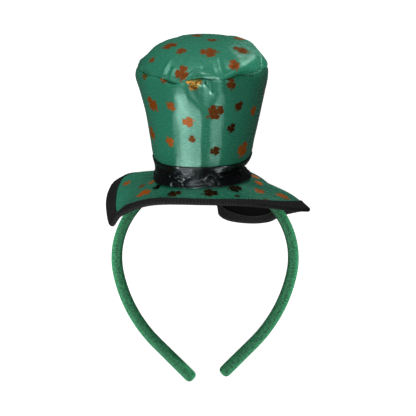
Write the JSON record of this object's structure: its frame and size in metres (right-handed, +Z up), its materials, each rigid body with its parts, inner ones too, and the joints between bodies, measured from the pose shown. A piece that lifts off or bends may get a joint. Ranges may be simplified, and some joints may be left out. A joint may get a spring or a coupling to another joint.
{
  "type": "leprechaun headband",
  "caption": "Miniature flared top hat of green satin with copper shamrocks, black sash and bound brim, sewn on a wound C-shaped headband; lies on its back.",
  "frame": {"origin": "on the floor, under the middle of the object's box as it lies on its back", "axes": "+Z up from the floor, +Y from the headband's tips towards the top of the hat, +X to the wearer's left as the hat's front is seen from above"},
  "size_m": [0.1416, 0.2392, 0.1152],
  "materials": {
    "green_satin": "glossy polyester satin printed with copper foil shamrocks",
    "black_satin": "creased glossy satin ribbon",
    "black_lining": "matte woven cloth",
    "black_tape": "matte ribbed bias tape, stitched along its inner edge",
    "green_yarn": "fine green yarn wound closely over a springy plastic core"
  },
  "bodies": {
    "root": {"crown_side": "green_satin", "crown_tip": "green_satin", "hat_band": "black_satin", "brim": "green_satin", "brim_lining": "black_lining", "brim_binding": "black_tape", "headband": "green_yarn"}
  },
  "joints": []
}
